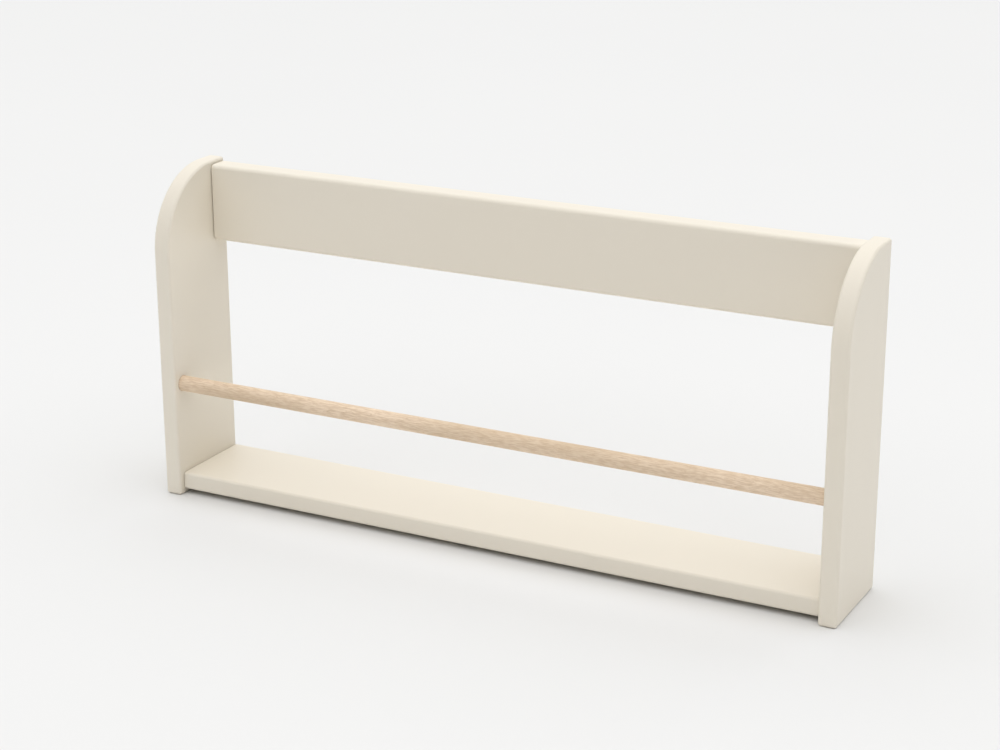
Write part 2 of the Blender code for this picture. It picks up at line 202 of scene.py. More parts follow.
class Bench:
    """Modelling by operators, on one piece at a time."""

    @staticmethod
    def clear() -> None:
        """Deselect everything."""
        bpy.ops.object.select_all(action="DESELECT")

    @staticmethod
    def take(piece: Object) -> None:
        """Make a piece the only one that is selected and active."""
        Bench.clear()
        piece.select_set(True)
        bpy.context.view_layer.objects.active = piece

    @staticmethod
    def settle(name: str) -> Object:
        """Name the newest object and move its place into its mesh.

        Args:
            name: The name for the object and its mesh.

        Returns:
            The object, now at the origin.
        """
        piece = bpy.context.object
        piece.name = name
        piece.data.name = name
        bpy.ops.object.transform_apply(location=True, rotation=True, scale=True)
        return piece

    @staticmethod
    def block(name: str, low: Vector, high: Vector) -> Object:
        """Add a block between two corners.

        Args:
            name: The block's name.
            low: Its lowest corner.
            high: Its highest corner.

        Returns:
            The block.
        """
        Bench.clear()
        bpy.ops.mesh.primitive_cube_add(size=1, location=(low + high) / 2, scale=high - low)
        return Bench.settle(name)

    @staticmethod
    def rod(name: str, start: Vector, end: Vector, radius: float, segments: int) -> Object:
        """Add a rod between two points.

        Args:
            name: The rod's name.
            start: The middle of its first end.
            end: The middle of its other end.
            radius: Its radius.
            segments: How many sides it has.

        Returns:
            The rod.
        """
        Bench.clear()
        line = end - start
        bpy.ops.mesh.primitive_cylinder_add(
            vertices=segments,
            radius=radius,
            depth=line.length,
            location=(start + end) / 2,
            rotation=line.to_track_quat("Z", "Y").to_euler(),
        )
        return Bench.settle(name)

    @staticmethod
    def line(name: str, points: Iterable[tuple[float, float]]) -> Object:
        """Draw a bent line in the plane of X and Z, one extruded corner after another.

        Args:
            name: The line's name.
            points: The (x, z) places of its corners.

        Returns:
            The line.
        """
        corners = [Vector((x, 0, z)) for x, z in points]
        Bench.clear()
        bpy.ops.mesh.primitive_plane_add(size=1, location=corners[0])
        piece = Bench.settle(name)
        with Bench.editing(piece):
            bpy.ops.mesh.merge(type="CENTER")
            for here, there in zip(corners, corners[1:]):
                bpy.ops.mesh.extrude_region_move(TRANSFORM_OT_translate={"value": there - here})
        return piece

    @staticmethod
    @contextmanager
    def editing(
        piece: Object,
        element: Element = Element.VERT,
        wanted: Callable[[Any], bool] = lambda item: True,
    ) -> Iterator[None]:
        """Work on a piece in edit mode, with only the wanted elements selected.

        Args:
            piece: The piece.
            element: Whether corners, edges or faces are selected.
            wanted: The test that an element has to pass.

        Yields:
            Nothing, while the piece is in edit mode.
        """
        Bench.take(piece)
        bpy.ops.object.mode_set(mode="EDIT")
        bpy.ops.mesh.select_mode(type=element.name)
        bpy.ops.mesh.select_all(action="DESELECT")
        drawing = bmesh.from_edit_mesh(piece.data)
        for item in getattr(drawing, element.value):
            if wanted(item):
                item.select_set(True)
        drawing.select_flush_mode()
        bmesh.update_edit_mesh(piece.data)
        yield
        bpy.ops.object.mode_set(mode="OBJECT")

    @staticmethod
    def round_edges(piece: Object, wanted: Callable[[BMEdge], bool], radius: float, segments: int) -> None:
        """Round the wanted edges of a piece, in so many strips."""
        with Bench.editing(piece, Element.EDGE, wanted):
            bpy.ops.mesh.bevel(offset=radius, segments=segments, affect="EDGES")

    @staticmethod
    def apply(piece: Object, kind: str, **settings: Any) -> None:
        """Add a modifier to a piece and apply it.

        Args:
            piece: The piece.
            kind: The modifier's type.
            settings: The modifier's settings.
        """
        Bench.take(piece)
        modifier = piece.modifiers.new(kind.lower(), kind)
        for name, value in settings.items():
            setattr(modifier, name, value)
        bpy.ops.object.modifier_apply(modifier=modifier.name)

    @staticmethod
    def combine(piece: Object, other: Object, merge: Merge) -> None:
        """Cut another shape out of a piece or join it on, and use it up."""
        Bench.apply(piece, "BOOLEAN", operation=merge.value, material_mode="TRANSFER", object=other)
        bpy.data.objects.remove(other, do_unlink=True)

    @staticmethod
    def turn(piece: Object, steps: int, rise: float = 0.0, turns: int = 1) -> None:
        """Turn a line about the Z axis into a round shape, or into a helix where it rises.

        Args:
            piece: The line.
            steps: How many sides a turn has.
            rise: How far the line climbs in a turn.
            turns: How many turns it makes.
        """
        Bench.apply(
            piece,
            "SCREW",
            steps=steps,
            render_steps=steps,
            screw_offset=rise,
            iterations=turns,
            use_merge_vertices=True,
            merge_threshold=TOUCH,
        )
        with Bench.editing(piece):
            bpy.ops.mesh.remove_doubles(threshold=TOUCH)
            bpy.ops.mesh.normals_make_consistent(inside=False)

    @staticmethod
    def trim(piece: Object, point: Vector, way: Vector) -> None:
        """Saw off what lies beyond a plane and close the cut.

        Args:
            piece: The piece.
            point: A point on the plane.
            way: The plane's normal, towards what is taken off.
        """
        with Bench.editing(piece):
            bpy.ops.mesh.bisect(plane_co=point, plane_no=way, use_fill=True, clear_outer=True)
        with Bench.editing(piece):
            bpy.ops.mesh.normals_make_consistent(inside=False)

    @staticmethod
    def smooth(piece: Object) -> None:
        """Shade a piece smooth up to its sharp edges, with flat faces left flat.

        Args:
            piece: The piece.
        """
        Bench.take(piece)
        bpy.ops.object.shade_smooth_by_angle(angle=SHARP_ANGLE)
        Bench.apply(piece, "WEIGHTED_NORMAL", keep_sharp=True)


class Signal:
    """A shader node's output that can be used in Python expressions."""

    def __init__(self, graph: "ShaderGraph", socket: NodeSocket) -> None:
        """Keep the socket and the graph that it is in."""
        self.graph = graph
        self.socket = socket

    def _math(self, operation: str, first: Operand, second: Operand) -> "Signal":
        """Add a Math node for two values."""
        return self.graph.node("ShaderNodeMath", {"operation": operation}, {0: first, 1: second})

    def __add__(self, other: Operand) -> "Signal":
        """This value plus another."""
        return self._math("ADD", self, other)

    def __sub__(self, other: Operand) -> "Signal":
        """This value less another."""
        return self._math("SUBTRACT", self, other)

    def __rsub__(self, other: Operand) -> "Signal":
        """Another value less this one."""
        return self._math("SUBTRACT", other, self)

    def __mul__(self, other: Operand) -> "Signal":
        """This value times another."""
        return self._math("MULTIPLY", self, other)

    def __mod__(self, other: Operand) -> "Signal":
        """What is left of this value after whole steps of another."""
        return self._math("FLOORED_MODULO", self, other)

    __radd__ = __add__
    __rmul__ = __mul__


class ShaderGraph:
    """The nodes of a material or of the sky."""

    def __init__(self, tree: NodeTree, shader: str) -> None:
        """Keep the nodes and the shader among them that is fed."""
        self.tree = tree
        self.shader = tree.nodes[shader]

    def node(
        self,
        kind: str,
        settings: Optional[Mapping[str, Any]] = None,
        sockets: Optional[Mapping[Union[str, int], Any]] = None,
        output: Union[str, int] = 0,
    ) -> Signal:
        """Add a node.

        Args:
            kind: The node's type.
            settings: Its settings, which are set first.
            sockets: The values or links of its inputs, by name or number.
            output: The output that is wanted, by name or number.

        Returns:
            The output.
        """
        made = self.tree.nodes.new(kind)
        for name, value in (settings or {}).items():
            setattr(made, name, value)
        for key, value in (sockets or {}).items():
            self.feed(made.inputs[key], value)
        return Signal(self, made.outputs[output])

    def feed(self, socket: NodeSocket, value: Any) -> None:
        """Give an input a link, a colour or a number.

        Args:
            socket: The input.
            value: A signal, or what the input holds by itself.
        """
        if isinstance(value, Signal):
            self.tree.links.new(value.socket, socket)
        elif socket.type == "RGBA":
            socket.default_value = (*value, 1.0)
        else:
            socket.default_value = value

    def dress(self, sockets: Mapping[str, Any]) -> None:
        """Give the shader's own inputs their values or links, by name."""
        for name, value in sockets.items():
            self.feed(self.shader.inputs[name], value)

    def noise(self, lump: Spread, detail: float = 2.0) -> Signal:
        """Add noise over the piece.

        Args:
            lump: How long a lump of it is along X, Y and Z, in metres.
            detail: How many finer layers it has.

        Returns:
            Its value, from 0 to 1 and about one half on average.
        """
        place = self.node("ShaderNodeTexCoord", output="Object")
        scale = tuple(1 / length for length in lump)
        stretched = self.node("ShaderNodeMapping", {}, {"Vector": place, "Scale": scale})
        sockets = {"Vector": stretched, "Scale": 1.0, "Detail": detail}
        return self.node("ShaderNodeTexNoise", {}, sockets)

    def fade(self, value: Signal, stretch: Stretch) -> Signal:
        """Turn a value into a soft step, from 0 where the stretch starts to 1 where it ends."""
        sockets = {"Value": value, "From Min": stretch[0], "From Max": stretch[1]}
        return self.node("ShaderNodeMapRange", {"interpolation_type": "SMOOTHSTEP"}, sockets)

    def mix(self, first: Any, second: Any, share: Signal) -> Signal:
        """Mix two colours, with a share of the second."""
        sockets = {MIX_SHARE: share, MIX_FIRST: first, MIX_SECOND: second}
        return self.node("ShaderNodeMix", {"data_type": "RGBA"}, sockets, MIX_RESULT)

    def seen(self) -> Signal:
        """Tell where a surface or the sky is looked at, straight, in a reflection or through glass.

        Returns:
            1 for such a ray, and 0 for a ray of bounced light.
        """
        rays = ("Is Camera Ray", "Is Glossy Ray", "Is Transmission Ray")
        camera, glossy, through = (self.node("ShaderNodeLightPath", output=ray) for ray in rays)
        return camera + glossy + through

    def bump(self, height: Signal, depth: float, strength: float) -> Signal:
        """Bend the normal by a height, whose step from 0 to 1 is so many metres deep."""
        sockets = {"Height": height, "Distance": depth, "Strength": strength}
        return self.node("ShaderNodeBump", {}, sockets)


def blend(first: Signal, second: Signal, share: float) -> Signal:
    """Mix two values, with a share of the second."""
    return (1 - share) * first + share * second


@dataclass(frozen=True)
class Finish(ABC):
    """What a surface is made of and how it looks."""

    slot: str

    @property
    def name(self) -> str:
        """The material's name."""
        return f"{self.slot}_finish"

    def coat(self, piece: Object) -> None:
        """Give a piece the finish's material, which is made for the first piece that gets it.

        Args:
            piece: The piece.
        """
        material = bpy.data.materials.get(self.name)
        if material is None:
            material = bpy.data.materials.new(self.name)
            material.use_nodes = True
            self.lay_out(ShaderGraph(material.node_tree, "Principled BSDF"))
        piece.data.materials.append(material)

    def tinted(self, tint: Colour) -> Colour:
        """Scale the red, green and blue of the colour that the record gives the slot.

        Args:
            tint: What they are scaled by.

        Returns:
            The colour, as linear red, green and blue.
        """
        rows = frame["record"]["materials"]
        red, green, blue = next(row["base_color"] for row in rows if row["slot"] == self.slot)
        return red * tint[0], green * tint[1], blue * tint[2]

    @abstractmethod
    def lay_out(self, graph: ShaderGraph) -> None:
        """Lay out the material's nodes."""


@dataclass(frozen=True)
class SatinPaint(Finish):
    """Sprayed satin paint: an even colour with a faint cloud and a fine orange-peel skin."""

    slot: str = "cream_paint"
    cloud: Spread = (0.16, 0.16, 0.16)
    skin: Spread = (0.0022, 0.0022, 0.0022)
    dust: Spread = (0.0007, 0.0007, 0.0007)
    warm_tint: Colour = (0.992, 0.988, 0.978)
    pale_tint: Colour = (1.006, 1.010, 1.018)
    dust_in_tint: float = 0.25
    roughness: float = 0.40
    roughness_drift: float = 0.10
    skin_in_drift: float = 0.4
    skin_depth: float = 0.00012
    skin_strength: float = 0.10
    dust_in_skin: float = 0.2

    def lay_out(self, graph: ShaderGraph) -> None:
        """Lay out the paint's nodes.

        Args:
            graph: The material's graph.
        """
        cloud = graph.noise(self.cloud, detail=3)
        skin = graph.noise(self.skin)
        dust = graph.noise(self.dust)
        warm, pale = self.tinted(self.warm_tint), self.tinted(self.pale_tint)
        drift = blend(cloud, skin, self.skin_in_drift) - NOISE_MEAN
        peel = blend(skin, dust, self.dust_in_skin)
        graph.dress({
            "Base Color": graph.mix(warm, pale, blend(cloud, dust, self.dust_in_tint)),
            "Roughness": self.roughness + self.roughness_drift * drift,
            "Normal": graph.bump(peel, self.skin_depth, self.skin_strength),
        })


@dataclass(frozen=True)
class Timber(Finish):
    """Clear-finished wood with its grain along X."""

    slot: str = "natural_oak"
    drift: Spread = (0.16, 0.03, 0.03)
    drift_fade: Stretch = (0.30, 0.70)
    fibre: Spread = (0.009, 0.0011, 0.0011)
    fibre_fade: Stretch = (0.35, 0.65)
    fleck: Spread = (0.0042, 0.0009, 0.0009)
    fleck_fade: Stretch = (0.66, 0.78)
    wander: Spread = (0.050, 0.015, 0.015)
    wander_reach: float = 0.006
    ring_way: Spread = (0.030, 0.55, 0.83)
    ring_pitch: float = 0.0046
    ring_fade: Stretch = (0.45, 0.95)
    rosy_tint: Colour = (1.18, 1.19, 1.225)
    straw_tint: Colour = (0.914, 0.902, 0.868)
    brown_tint: Colour = (0.70, 0.58, 0.46)
    fibre_contrast: float = 0.46
    fleck_contrast: float = 0.60
    ring_contrast: float = 0.12
    roughness: float = 0.56
    fibre_roughness: float = 0.12
    pore_roughness: float = 0.3
    pore_depth: float = 0.00004
    pore_strength: float = 0.35

    def lay_out(self, graph: ShaderGraph) -> None:
        """Lay out the wood's nodes: drifting tint, slanting growth rings, fibres and dark flecks.

        Args:
            graph: The material's graph.
        """
        drift = graph.fade(graph.noise(self.drift, detail=1), self.drift_fade)
        fibre = graph.fade(graph.noise(self.fibre, detail=4), self.fibre_fade)
        fleck = graph.fade(graph.noise(self.fleck, detail=1), self.fleck_fade)
        ring = graph.fade(self.ring(graph), self.ring_fade)
        pores = self.fleck_contrast * fleck
        brown = self.tinted(self.brown_tint)
        colour = graph.mix(self.tinted(self.rosy_tint), self.tinted(self.straw_tint), drift)
        for share in (self.fibre_contrast * fibre, self.ring_contrast * ring, pores):
            colour = graph.mix(colour, brown, share)
        coarse = self.fibre_roughness * (fibre - NOISE_MEAN) + self.pore_roughness * pores
        graph.dress({
            "Base Color": colour,
            "Roughness": self.roughness + coarse,
            "Normal": graph.bump(fibre - fleck, self.pore_depth, self.pore_strength),
        })

    def ring(self, graph: ShaderGraph) -> Signal:
        """Lay growth rings through the wood, wandering a little and at a slant to its length.

        Args:
            graph: The material's graph.

        Returns:
            How far through a year's ring a point is, from 0 to 1.
        """
        place = graph.node("ShaderNodeTexCoord", output="Object")
        settings = {"operation": "DOT_PRODUCT"}
        across = graph.node("ShaderNodeVectorMath", settings, {0: place, 1: self.ring_way}, "Value")
        wander = self.wander_reach * graph.noise(self.wander)
        return (across + wander) * (1 / self.ring_pitch) % 1.0


@dataclass(frozen=True)
class RawBoard(Finish):
    """The bare board that shows in drilled holes and routed slots."""

    slot: str = "beech"
    grit: Spread = (0.0012, 0.0012, 0.0012)
    dark_tint: Colour = (0.8, 0.78, 0.76)
    pale_tint: Colour = (1.1, 1.1, 1.1)
    roughness: float = 0.85
    roughness_drift: float = 0.1
    grit_depth: float = 0.0003
    grit_strength: float = 0.5

    @property
    def name(self) -> str:
        """The material's name, since the slot is the pins' own."""
        return "raw_board_finish"

    def lay_out(self, graph: ShaderGraph) -> None:
        """Lay out the bare board's nodes.

        Args:
            graph: The material's graph.
        """
        grit = graph.noise(self.grit, detail=3)
        graph.dress({
            "Base Color": graph.mix(self.tinted(self.dark_tint), self.tinted(self.pale_tint), grit),
            "Roughness": self.roughness + self.roughness_drift * (grit - NOISE_MEAN),
            "Normal": graph.bump(grit, self.grit_depth, self.grit_strength),
        })


@dataclass(frozen=True)
class Metal(Finish):
    """Bare or plated metal with a mottled sheen and fine tool marks."""

    slot: str = "zinc_plated_steel"
    mottle: Spread = (0.004, 0.004, 0.004)
    marks: Spread = (0.00025, 0.004, 0.004)
    cool_tint: Colour = (0.92, 0.94, 0.98)
    warm_tint: Colour = (1.08, 1.07, 1.02)
    roughness: float = 0.32
    roughness_drift: float = 0.14
    marks_in_drift: float = 0.5
    mark_depth: float = 0.00004
    mark_strength: float = 0.3

    def lay_out(self, graph: ShaderGraph) -> None:
        """Lay out the metal's nodes.

        Args:
            graph: The material's graph.
        """
        mottle = graph.noise(self.mottle, detail=3)
        marks = graph.noise(self.marks)
        drift = blend(mottle, marks, self.marks_in_drift) - NOISE_MEAN
        graph.dress({
            "Base Color": graph.mix(self.tinted(self.cool_tint), self.tinted(self.warm_tint), mottle),
            "Metallic": 1.0,
            "Roughness": self.roughness + self.roughness_drift * drift,
            "Normal": graph.bump(marks, self.mark_depth, self.mark_strength),
        })


@dataclass(frozen=True)
class StudioFloor(Finish):
    """The matt, pale floor of the studio."""

    slot: str = "studio_floor"
    dark_colour: Colour = (0.7448, 0.7448, 0.74088)
    pale_colour: Colour = (0.76, 0.76, 0.756)
    bounce_colour: Colour = (0.86, 0.86, 0.86)
    cloud: Spread = (0.8, 0.8, 0.8)
    roughness: float = 0.9

    def lay_out(self, graph: ShaderGraph) -> None:
        """Lay out the floor's nodes.

        Args:
            graph: The material's graph.
        """
        clouded = graph.mix(self.dark_colour, self.pale_colour, graph.noise(self.cloud))
        graph.dress({
            "Base Color": graph.mix(self.bounce_colour, clouded, graph.seen()),
            "Roughness": self.roughness,
            "Specular IOR Level": 0.0,
        })


@dataclass(frozen=True)
class Drill:
    """A drill, with the clearance that it leaves round what goes in its holes."""

    raw: Finish = RawBoard()
    clearance: float = 0.0003
    overrun: float = 0.002
    segments: int = 48

    def bore(self, piece: Object, mouth: Vector, end: Vector, radius: float) -> None:
        """Bore a blind hole for something round.

        Args:
            piece: The piece that is drilled.
            mouth: Where the hole starts, on the piece's face.
            end: Where what goes in it ends.
            radius: The radius of what goes in it.
        """
        way = (end - mouth).normalized()
        start = mouth - way * self.overrun
        bit = Bench.rod("bit", start, end + way * self.clearance, radius + self.clearance, self.segments)
        self.cut(piece, bit)

    def cut(self, piece: Object, bit: Object) -> None:
        """Cut a shape out of a piece, which uses the shape up, and leave bare board in the cut."""
        self.raw.coat(bit)
        Bench.combine(piece, bit, Merge.CUT_OUT)


@dataclass(frozen=True)
class Keyhole:
    """A routed slot that hooks over the head of a wall screw."""

    drill: Drill = Drill()
    entry_radius: float = 0.005
    neck_radius: float = 0.0025
    travel: float = 0.014
    lip: float = 0.005
    depth: float = 0.011

    def rout(self, piece: Object, mouth: Vector, way: Vector) -> None:
        """Rout the slot, its neck pointing up.

        Args:
            piece: The piece that is routed.
            mouth: The middle of the entry, on the piece's face.
            way: The way into the piece.
        """
        self.sweep(piece, mouth, way, -self.drill.overrun, self.neck_radius)
        self.sweep(piece, mouth, way, self.lip, self.entry_radius)
        start = mouth - way * self.drill.overrun
        entry = Bench.rod("router", start, mouth + way * self.depth, self.entry_radius, self.drill.segments)
        self.drill.cut(piece, entry)

    def sweep(self, piece: Object, mouth: Vector, way: Vector, start: float, radius: float) -> None:
        """Rout a slot with round ends, from the entry up to the end of the travel.

        Args:
            piece: The piece that is routed.
            mouth: The middle of the entry, on the piece's face.
            way: The way into the piece.
            start: How deep the slot starts.
            radius: Half the slot's width.
        """
        high = mouth + UPWARD * self.travel / 2 + way * start
        low = high + way * (self.depth - start)
        router = Bench.rod("router", high, low, radius, self.drill.segments)
        for apart in (UPWARD, -UPWARD):
            with Bench.editing(router, Element.VERT, lambda vert: (vert.co - high).dot(apart) > TOUCH):
                bpy.ops.transform.translate(value=apart * self.travel / 2)
        self.drill.cut(piece, router)


@dataclass
class SubAssembly(ABC):
    """Pieces of one finish, each of which stands for a node of the frame."""

    finish: Finish

    @abstractmethod
    def pieces(self) -> dict[str, Object]:
        """Model the pieces, and give them by the names of their nodes."""

    def build(self) -> dict[str, Object]:
        """Model the pieces and let each one stand for its node.

        Returns:
            The pieces, by the names of their nodes.
        """
        pieces = self.pieces()
        for node, piece in pieces.items():
            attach(piece, ROOT_BODY)
            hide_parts(node)
        return pieces

    @staticmethod
    def copies(model: Object, places: Mapping[str, Matrix], ending: str) -> dict[str, Object]:
        """Copy a model to the place of each of its nodes, in the copy's own mesh, and remove the model.

        Args:
            model: What is copied.
            places: Where each node's copy goes.
            ending: What a copy's name adds to its node's.

        Returns:
            The copies, by the names of their nodes.
        """
        made = {}
        for node, matrix in places.items():
            copy = model.copy()
            copy.data = model.data.copy()
            copy.name = f"{node}_{ending}"
            copy.data.name = copy.name
            copy.data.transform(matrix)
            bpy.context.scene.collection.objects.link(copy)
            made[node] = copy
        bpy.data.objects.remove(model, do_unlink=True)
        return made


@dataclass
class SidePanels(SubAssembly):
    """The painted side panels, each with a large round at its top front corner."""

    finish: Finish = SatinPaint()
    drill: Drill = Drill()
    corner_radius: float = 0.081
    corner_segments: int = 64
    edge_radius: float = 0.003
    edge_segments: int = 6

    def pieces(self) -> dict[str, Object]:
        """Model both panels, and give them by the names of their nodes."""
        return {side.panel_node: self.panel(side) for side in Side}

    def panel(self, side: Side) -> Object:
        """Model one panel.

        Args:
            side: The end of the rack that it is at.

        Returns:
            The panel.
        """
        box = NodeBox.of(side.panel_node)
        panel = Bench.block(f"{side.panel_node}_painted", box.low, box.high)
        self.finish.coat(panel)
        middle = box.centre

        def at_top_front(edge: BMEdge) -> bool:
            """Whether an edge is the panel's top front corner."""
            return all(vert.co.y < middle.y and vert.co.z > middle.z for vert in edge.verts)

        Bench.round_edges(panel, at_top_front, self.corner_radius, self.corner_segments)
        Bench.round_edges(panel, is_square, self.edge_radius, self.edge_segments)
        inner_face = box.end(-side.outward).x
        for end, radius in self.sockets(side):
            self.drill.bore(panel, at_x(inner_face, end), end, radius)
        Bench.smooth(panel)
        return panel

    def sockets(self, side: Side) -> list[tuple[Vector, float]]:
        """Find what goes into the inner face of a panel.

        Args:
            side: The end of the rack that the panel is at.

        Returns:
            The outer end and the radius of the bar, of each pin and of each bolt's thread.
        """
        nodes = [BAR_NODE] + [node for place in Place for node in place.pin_nodes(side)]
        boxes = [NodeBox.of(node) for node in nodes]
        found = [(box.end(side.outward), box.size.z / 2) for box in boxes]
        bolts = [NodeBox.of(place.bolt_node(side)) for place in Place]
        return found + [(bolt.end(side.outward), CamBolts.thread_radius) for bolt in bolts]


@dataclass(frozen=True)
class BoardEdges:
    """How far a board's long edges are rounded, and how wide a dark line shows at its ends."""

    radius: float
    shadow_line: float


@dataclass
class LongBoards(SubAssembly):
    """The painted shelf and back rail, with keyhole slots for wall screws in the back of the rail."""

    finish: Finish = SatinPaint()
    drill: Drill = Drill()
    keyhole: Keyhole = Keyhole()
    keyhole_spacing: float = 0.500
    shelf_edges: BoardEdges = BoardEdges(radius=0.003, shadow_line=0.0002)
    rail_edges: BoardEdges = BoardEdges(radius=0.0042, shadow_line=0.0006)
    edge_segments: int = 8
    end_radius: float = 0.0005
    end_segments: int = 3
    shadow_depth: float = 0.002

    def pieces(self) -> dict[str, Object]:
        """Model both boards, and give them by the names of their nodes."""
        return {place.node: self.board(place) for place in Place}

    def board(self, place: Place) -> Object:
        """Model one board.

        Args:
            place: Which board it is.

        Returns:
            The board.
        """
        box = NodeBox.of(place.node)
        edges = self.rail_edges if place is Place.RAIL else self.shelf_edges
        shortening = RIGHTWARD * edges.shadow_line
        board = Bench.block(f"{place.node}_painted", box.low + shortening, box.high - shortening)
        self.finish.coat(board)

        def runs_along(edge: BMEdge) -> bool:
            """Whether an edge runs the length of the board."""
            return edge.calc_length() > box.size.x / 2

        Bench.round_edges(board, runs_along, edges.radius, self.edge_segments)
        rims = at_ends(box.high.x - edges.shadow_line)
        Bench.round_edges(board, rims, self.end_radius, self.end_segments)
        for side in Side:
            self.raise_end(board, side.outward, edges.shadow_line)
        for side in Side:
            self.bore_end(board, place, side)
        if place is Place.RAIL:
            self.rout_keyholes(board)
        Bench.smooth(board)
        return board

    def raise_end(self, board: Object, way: Vector, height: float) -> None:
        """Raise the middle of one end to its full length, so that a dark line shows round its rim.

        Args:
            board: The board.
            way: The way out of that end.
            height: How far it is raised.
        """
        with Bench.editing(board, Element.FACE, facing(way)):
            bpy.ops.mesh.inset(thickness=self.shadow_depth)
            bpy.ops.mesh.extrude_region_move(TRANSFORM_OT_translate={"value": way * height})

    def bore_end(self, board: Object, place: Place, side: Side) -> None:
        """Drill one end of a board for its pins, its cam bolt and its cam.

        Args:
            board: The board.
            place: Which board it is.
            side: The end.
        """
        end = NodeBox.of(place.node).end(side.outward).x
        for node in place.pin_nodes(side):
            pin = NodeBox.of(node)
            tip = pin.end(-side.outward)
            self.drill.bore(board, at_x(end, tip), tip, pin.size.z / 2)
        cam = NodeBox.of(place.cam_node(side))
        bolt = NodeBox.of(place.bolt_node(side))
        tip = at_x(cam.centre.x, bolt.centre)
        self.drill.bore(board, at_x(end, tip), tip, bolt.size.z / 2)
        self.drill.bore(board, cam.end(place.cam_face), cam.end(-place.cam_face), cam.size.x / 2)

    def rout_keyholes(self, rail: Object) -> None:
        """Rout the two keyhole slots into the back of the rail.

        Args:
            rail: The rail.
        """
        middle = NodeBox.of(Place.RAIL.node).end(BACKWARD) - UPWARD * self.keyhole.travel / 2
        for side in Side:
            mouth = middle + side.outward * self.keyhole_spacing / 2
            self.keyhole.rout(rail, mouth, -BACKWARD)


@dataclass
class FrontBar(SubAssembly):
    """The round wooden bar that keeps the books in."""

    finish: Finish = Timber()
    segments: int = 96
    chamfer: float = 0.001
    chamfer_segments: int = 2

    def pieces(self) -> dict[str, Object]:
        """Model the bar.

        Returns:
            The bar, by the name of its node.
        """
        box = NodeBox.of(BAR_NODE)
        start = box.end(-RIGHTWARD)
        bar = Bench.rod(f"{BAR_NODE}_oiled", start, box.end(RIGHTWARD), box.size.z / 2, self.segments)
        self.finish.coat(bar)
        Bench.round_edges(bar, at_ends(box.high.x), self.chamfer, self.chamfer_segments)
        Bench.smooth(bar)
        return {BAR_NODE: bar}


@dataclass
class Pins(SubAssembly):
    """The fluted wooden pins that line the boards up with the panels, modelled once and copied."""

    finish: Finish = Timber(
        slot="beech",
        drift=(0.03, 0.006, 0.006),
        fibre=(0.012, 0.0008, 0.0008),
        fleck=(0.0016, 0.0003, 0.0003),
        wander=(0.02, 0.004, 0.004),
        wander_reach=0.002,
        ring_pitch=0.0018,
    )
    flutes: int = 18
    facets: int = 4
    flute_depth: float = 0.00035
    chamfer: float = 0.001

    def pieces(self) -> dict[str, Object]:
        """Model all the pins.

        Returns:
            The pins, by the names of their nodes.
        """
        nodes = [node for place, side in product(Place, Side) for node in place.pin_nodes(side)]
        places = {node: Matrix.Translation(NodeBox.of(node).centre) for node in nodes}
        return self.copies(self.model(NodeBox.of(nodes[0]).size), places, "fluted")

    def model(self, size: Vector) -> Object:
        """Model a pin along X about the origin.

        Args:
            size: The space that it takes up.

        Returns:
            The pin.
        """
        radius = size.z / 2
        shoulder = RIGHTWARD * (size.x / 2 - self.chamfer)
        pin = Bench.rod("pin", -shoulder, shoulder, radius, self.flutes * self.facets)
        self.finish.coat(pin)

        def in_flute(vert: BMVert) -> bool:
            """Whether a corner lies at the bottom of a flute."""
            turn = atan2(vert.co.z, vert.co.y) / tau * self.flutes
            return abs(turn - round(turn)) < 0.5 / self.facets

        def narrow(depth: float) -> None:
            """Draw what is selected in towards the pin's axis, so deep at its surface."""
            share = 1 - depth / radius
            bpy.ops.transform.resize(value=(1, share, share), center_override=(0, 0, 0))

        with Bench.editing(pin, Element.VERT, in_flute):
            narrow(self.flute_depth)
        for way in (-RIGHTWARD, RIGHTWARD):
            with Bench.editing(pin, Element.FACE, facing(way)):
                bpy.ops.mesh.extrude_region_move(TRANSFORM_OT_translate={"value": way * self.chamfer})
                narrow(self.chamfer)
        Bench.smooth(pin)
        return pin


@dataclass(frozen=True)
class DriverCross:
    """The cross that a screwdriver turns a fitting by."""

    length: float
    width: float
    depth: float

    def cutters(self, middle: Vector) -> Iterator[Object]:
        """Make the two blocks that are cut out of a fitting's face, one at a time.

        Args:
            middle: The middle of the face.

        Yields:
            The blocks.
        """
        half = Vector((self.length, self.width, self.depth * 2)) / 2
        for across in (half, half.yxz):
            yield Bench.block("driver", middle - across, middle + across)


